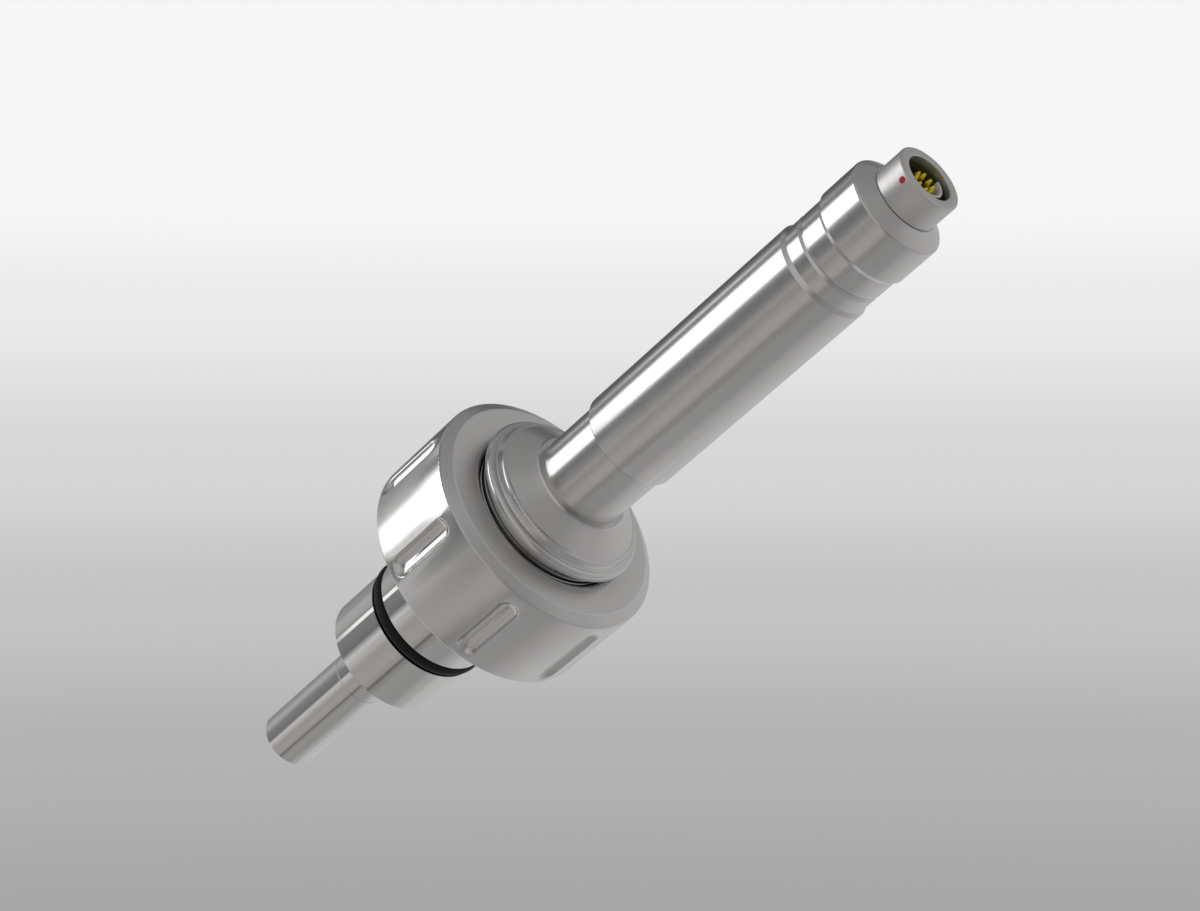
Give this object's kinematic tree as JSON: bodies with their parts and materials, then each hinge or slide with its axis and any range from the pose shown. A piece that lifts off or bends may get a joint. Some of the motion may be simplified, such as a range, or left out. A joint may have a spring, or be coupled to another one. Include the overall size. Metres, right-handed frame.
{
  "type": "biomass sensor",
  "caption": "Slim steel probe with a flush sensing tip, sealed port plug, captive union nut with grip recesses, long barrel and a round push-pull socket.",
  "frame": {"origin": "middle of the port plug's lower end, where the sensing tip leaves the plug", "axes": "+Z along the probe's axis from the sensing tip to the connector; -Y towards the connector's red index dot; +X to the half-moon shroud's side"},
  "size_m": [0.0492, 0.0492, 0.1845],
  "materials": {
    "satin_steel": "satin",
    "nut_steel": "satin",
    "polished_steel": "mirror polished",
    "shell_steel": "satin",
    "black_rubber": "matte",
    "tip_plastic": "matte",
    "platinum": "polished",
    "slip_plastic": "matte",
    "insert_plastic": "matte",
    "gold": "polished",
    "red_enamel": "glossy",
    "board_green": "glossy",
    "holder_plastic": "matte",
    "chip_black": "matte",
    "capacitor_metal": "satin",
    "lead_insulation": "matte"
  },
  "bodies": {
    "sensor": {"hub": "satin_steel", "barrel": "satin_steel", "head_cap": "satin_steel", "connector_nut": "satin_steel", "tip_sleeve": "polished_steel", "plug_body": "polished_steel", "connector_shell": "shell_steel", "port_seal": "black_rubber", "tip_seal": "black_rubber", "hub_seal": "black_rubber", "barrel_seal": "black_rubber", "cap_seal": "black_rubber", "connector_seal": "black_rubber", "tip_insulator": "tip_plastic", "electrode_1": "platinum", "electrode_2": "platinum", "electrode_3": "platinum", "electrode_4": "platinum", "connector_insert": "insert_plastic", "insert_shroud": "insert_plastic", "contact_pin_1": "gold", "contact_pin_2": "gold", "contact_pin_3": "gold", "contact_pin_4": "gold", "contact_pin_5": "gold", "contact_pin_6": "gold", "contact_pin_7": "gold", "contact_pin_8": "gold", "index_dot": "red_enamel", "preamplifier_board": "board_green", "lower_board_holder": "holder_plastic", "upper_board_holder": "holder_plastic", "amplifier_chip": "chip_black", "converter_chip": "chip_black", "board_capacitors": "capacitor_metal", "pin_leads": "lead_insulation", "electrode_lead_1": "lead_insulation", "electrode_lead_2": "lead_insulation", "electrode_lead_3": "lead_insulation", "electrode_lead_4": "lead_insulation"},
    "slip_ring": {"slip_ring": "slip_plastic"},
    "union_nut": {"union_nut": "nut_steel"}
  },
  "joints": [
    {"name": "nut_play", "type": "slide", "parent": "sensor", "child": "slip_ring", "axis": [0, 0, 1], "range_m": [0, 0.0013]},
    {"name": "nut_spin", "type": "hinge", "parent": "slip_ring", "child": "union_nut", "pos_m": [0, 0, 0.0465], "axis": [0, 0, 1], "continuous": true}
  ]
}
